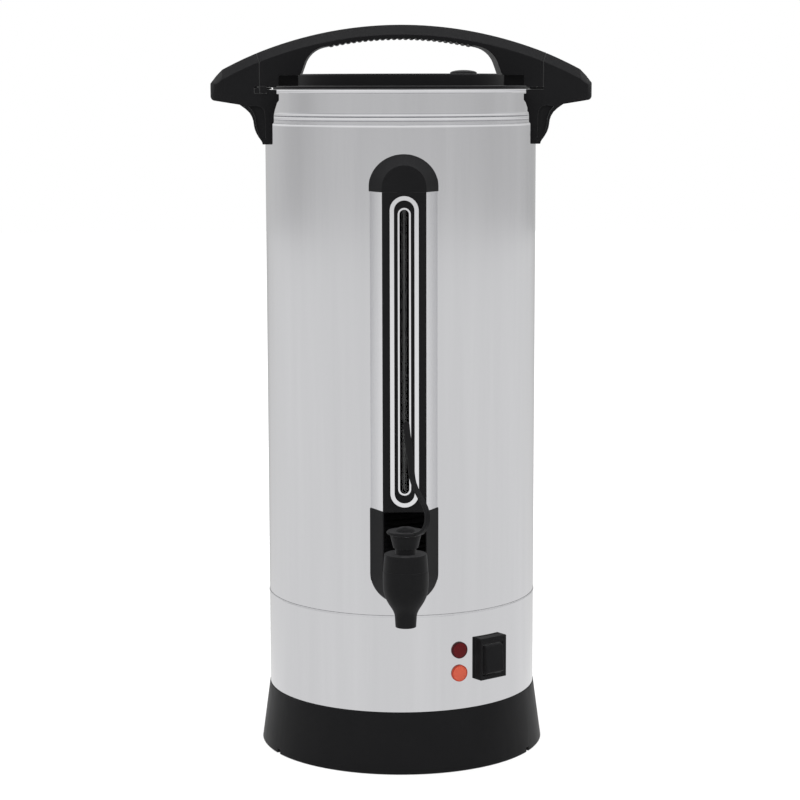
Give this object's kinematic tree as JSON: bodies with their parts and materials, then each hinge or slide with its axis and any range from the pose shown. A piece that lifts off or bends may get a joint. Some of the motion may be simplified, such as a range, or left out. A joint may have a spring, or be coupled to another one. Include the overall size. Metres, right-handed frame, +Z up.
{
  "type": "coffee urn",
  "caption": "Tall cylindrical steel coffee urn with a percolator, front tap and sight gauge, black base, and a lid whose arched handle locks between the side handles.",
  "frame": {"origin": "centre of the base's lower rim, on the floor under the axis of the tank", "axes": "+Z up along the tank's axis, the front with the tap faces -Y, the switch is towards +X"},
  "size_m": [0.304, 0.2973, 0.5906],
  "materials": {
    "black_plastic": "satin moulded",
    "body_steel": "fine brushed",
    "plain_steel": "plain",
    "bright_trim": "polished",
    "heater_metal": "plain",
    "dark_rubber": "soft",
    "clear_glass": "clear",
    "red_lens": "smooth",
    "amber_lens": "smooth, lit",
    "terminal_nylon": "moulded",
    "pin_brass": "plain"
  },
  "bodies": {
    "urn": {"base_skirt": "black_plastic", "bottom_plate": "plain_steel", "rubber_feet": "dark_rubber", "bottom_screws": "plain_steel", "lower_band": "body_steel", "heat_plate": "heater_metal", "heater_ring": "heater_metal", "thermostat": "heater_metal", "thermal_cutout": "heater_metal", "terminal_block": "terminal_nylon", "switch_housing": "black_plastic", "red_lamp": "red_lens", "amber_lamp": "amber_lens", "lamp_holders": "black_plastic", "power_inlet": "black_plastic", "inlet_pins": "pin_brass", "inlet_screws": "plain_steel", "tank_shell": "body_steel", "tank_floor": "plain_steel", "side_handle_left": "black_plastic", "side_handle_right": "black_plastic", "handle_screws": "plain_steel", "gauge_guard": "body_steel", "gauge_panel": "black_plastic", "gauge_ring": "bright_trim", "slot_trim": "bright_trim", "sight_glass": "clear_glass", "gauge_cap": "black_plastic", "glass_seals": "dark_rubber", "tap_bracket": "black_plastic", "shank_fitting": "bright_trim", "shank_washers": "dark_rubber", "shank_nut": "plain_steel", "tap_body": "black_plastic", "tap_bonnet": "black_plastic"},
    "seal": {"lid_seal": "dark_rubber"},
    "lid": {"lid": "black_plastic", "lid_liner": "plain_steel", "arch_handle": "black_plastic", "arch_screws": "plain_steel", "vent_cap": "black_plastic"},
    "percolator": {"pump_stem": "bright_trim", "basket": "plain_steel"},
    "cover": {"basket_cover": "plain_steel"},
    "pump_disc": {"pump_valve": "bright_trim"},
    "stem": {"valve_stem": "plain_steel", "seat_cup": "dark_rubber"},
    "lever": {"tap_lever": "black_plastic", "lever_pin": "plain_steel"},
    "rocker": {"switch_rocker": "black_plastic"}
  },
  "joints": [
    {"name": "lid_lift", "type": "slide", "parent": "urn", "child": "seal", "axis": [0, 0, 1], "range_m": [0, 0.45]},
    {"name": "lid_twist", "type": "hinge", "parent": "seal", "child": "lid", "pos_m": [0, 0, 0.5403], "axis": [0, 0, 1], "range_deg": [0, 40]},
    {"name": "percolator_lift", "type": "slide", "parent": "urn", "child": "percolator", "axis": [0, 0, 1], "range_m": [0, 0.42]},
    {"name": "cover_lift", "type": "slide", "parent": "percolator", "child": "cover", "axis": [0, 0, 1], "range_m": [0, 0.0136]},
    {"name": "pump_hop", "type": "slide", "parent": "percolator", "child": "pump_disc", "axis": [0, 0, 1], "range_m": [0, 0.0024]},
    {"name": "tap_pull", "type": "hinge", "parent": "urn", "child": "lever", "pos_m": [0.00716, -0.1665, 0.20285], "axis": [0.7986, 0.6018, 0], "range_deg": [0, 20]},
    {"name": "stem_rise", "type": "slide", "parent": "urn", "child": "stem", "axis": [0, 0, 1], "range_m": [0, 0.00425], "stiffness_N_per_m": 1500, "springref_m": -0.004},
    {"name": "rocker_tip", "type": "hinge", "parent": "urn", "child": "rocker", "pos_m": [0.06841, -0.0943, 0.0892], "axis": [0.8049, 0.5934, 0], "range_deg": [0, 10]}
  ],
  "couplings": [
    {"joint": "percolator_lift", "follows": "lid_lift", "ratio": 0.93},
    {"joint": "cover_lift", "follows": "lid_lift", "ratio": 0.03},
    {"joint": "tap_pull", "follows": "stem_rise", "rad_per_m": 82}
  ]
}
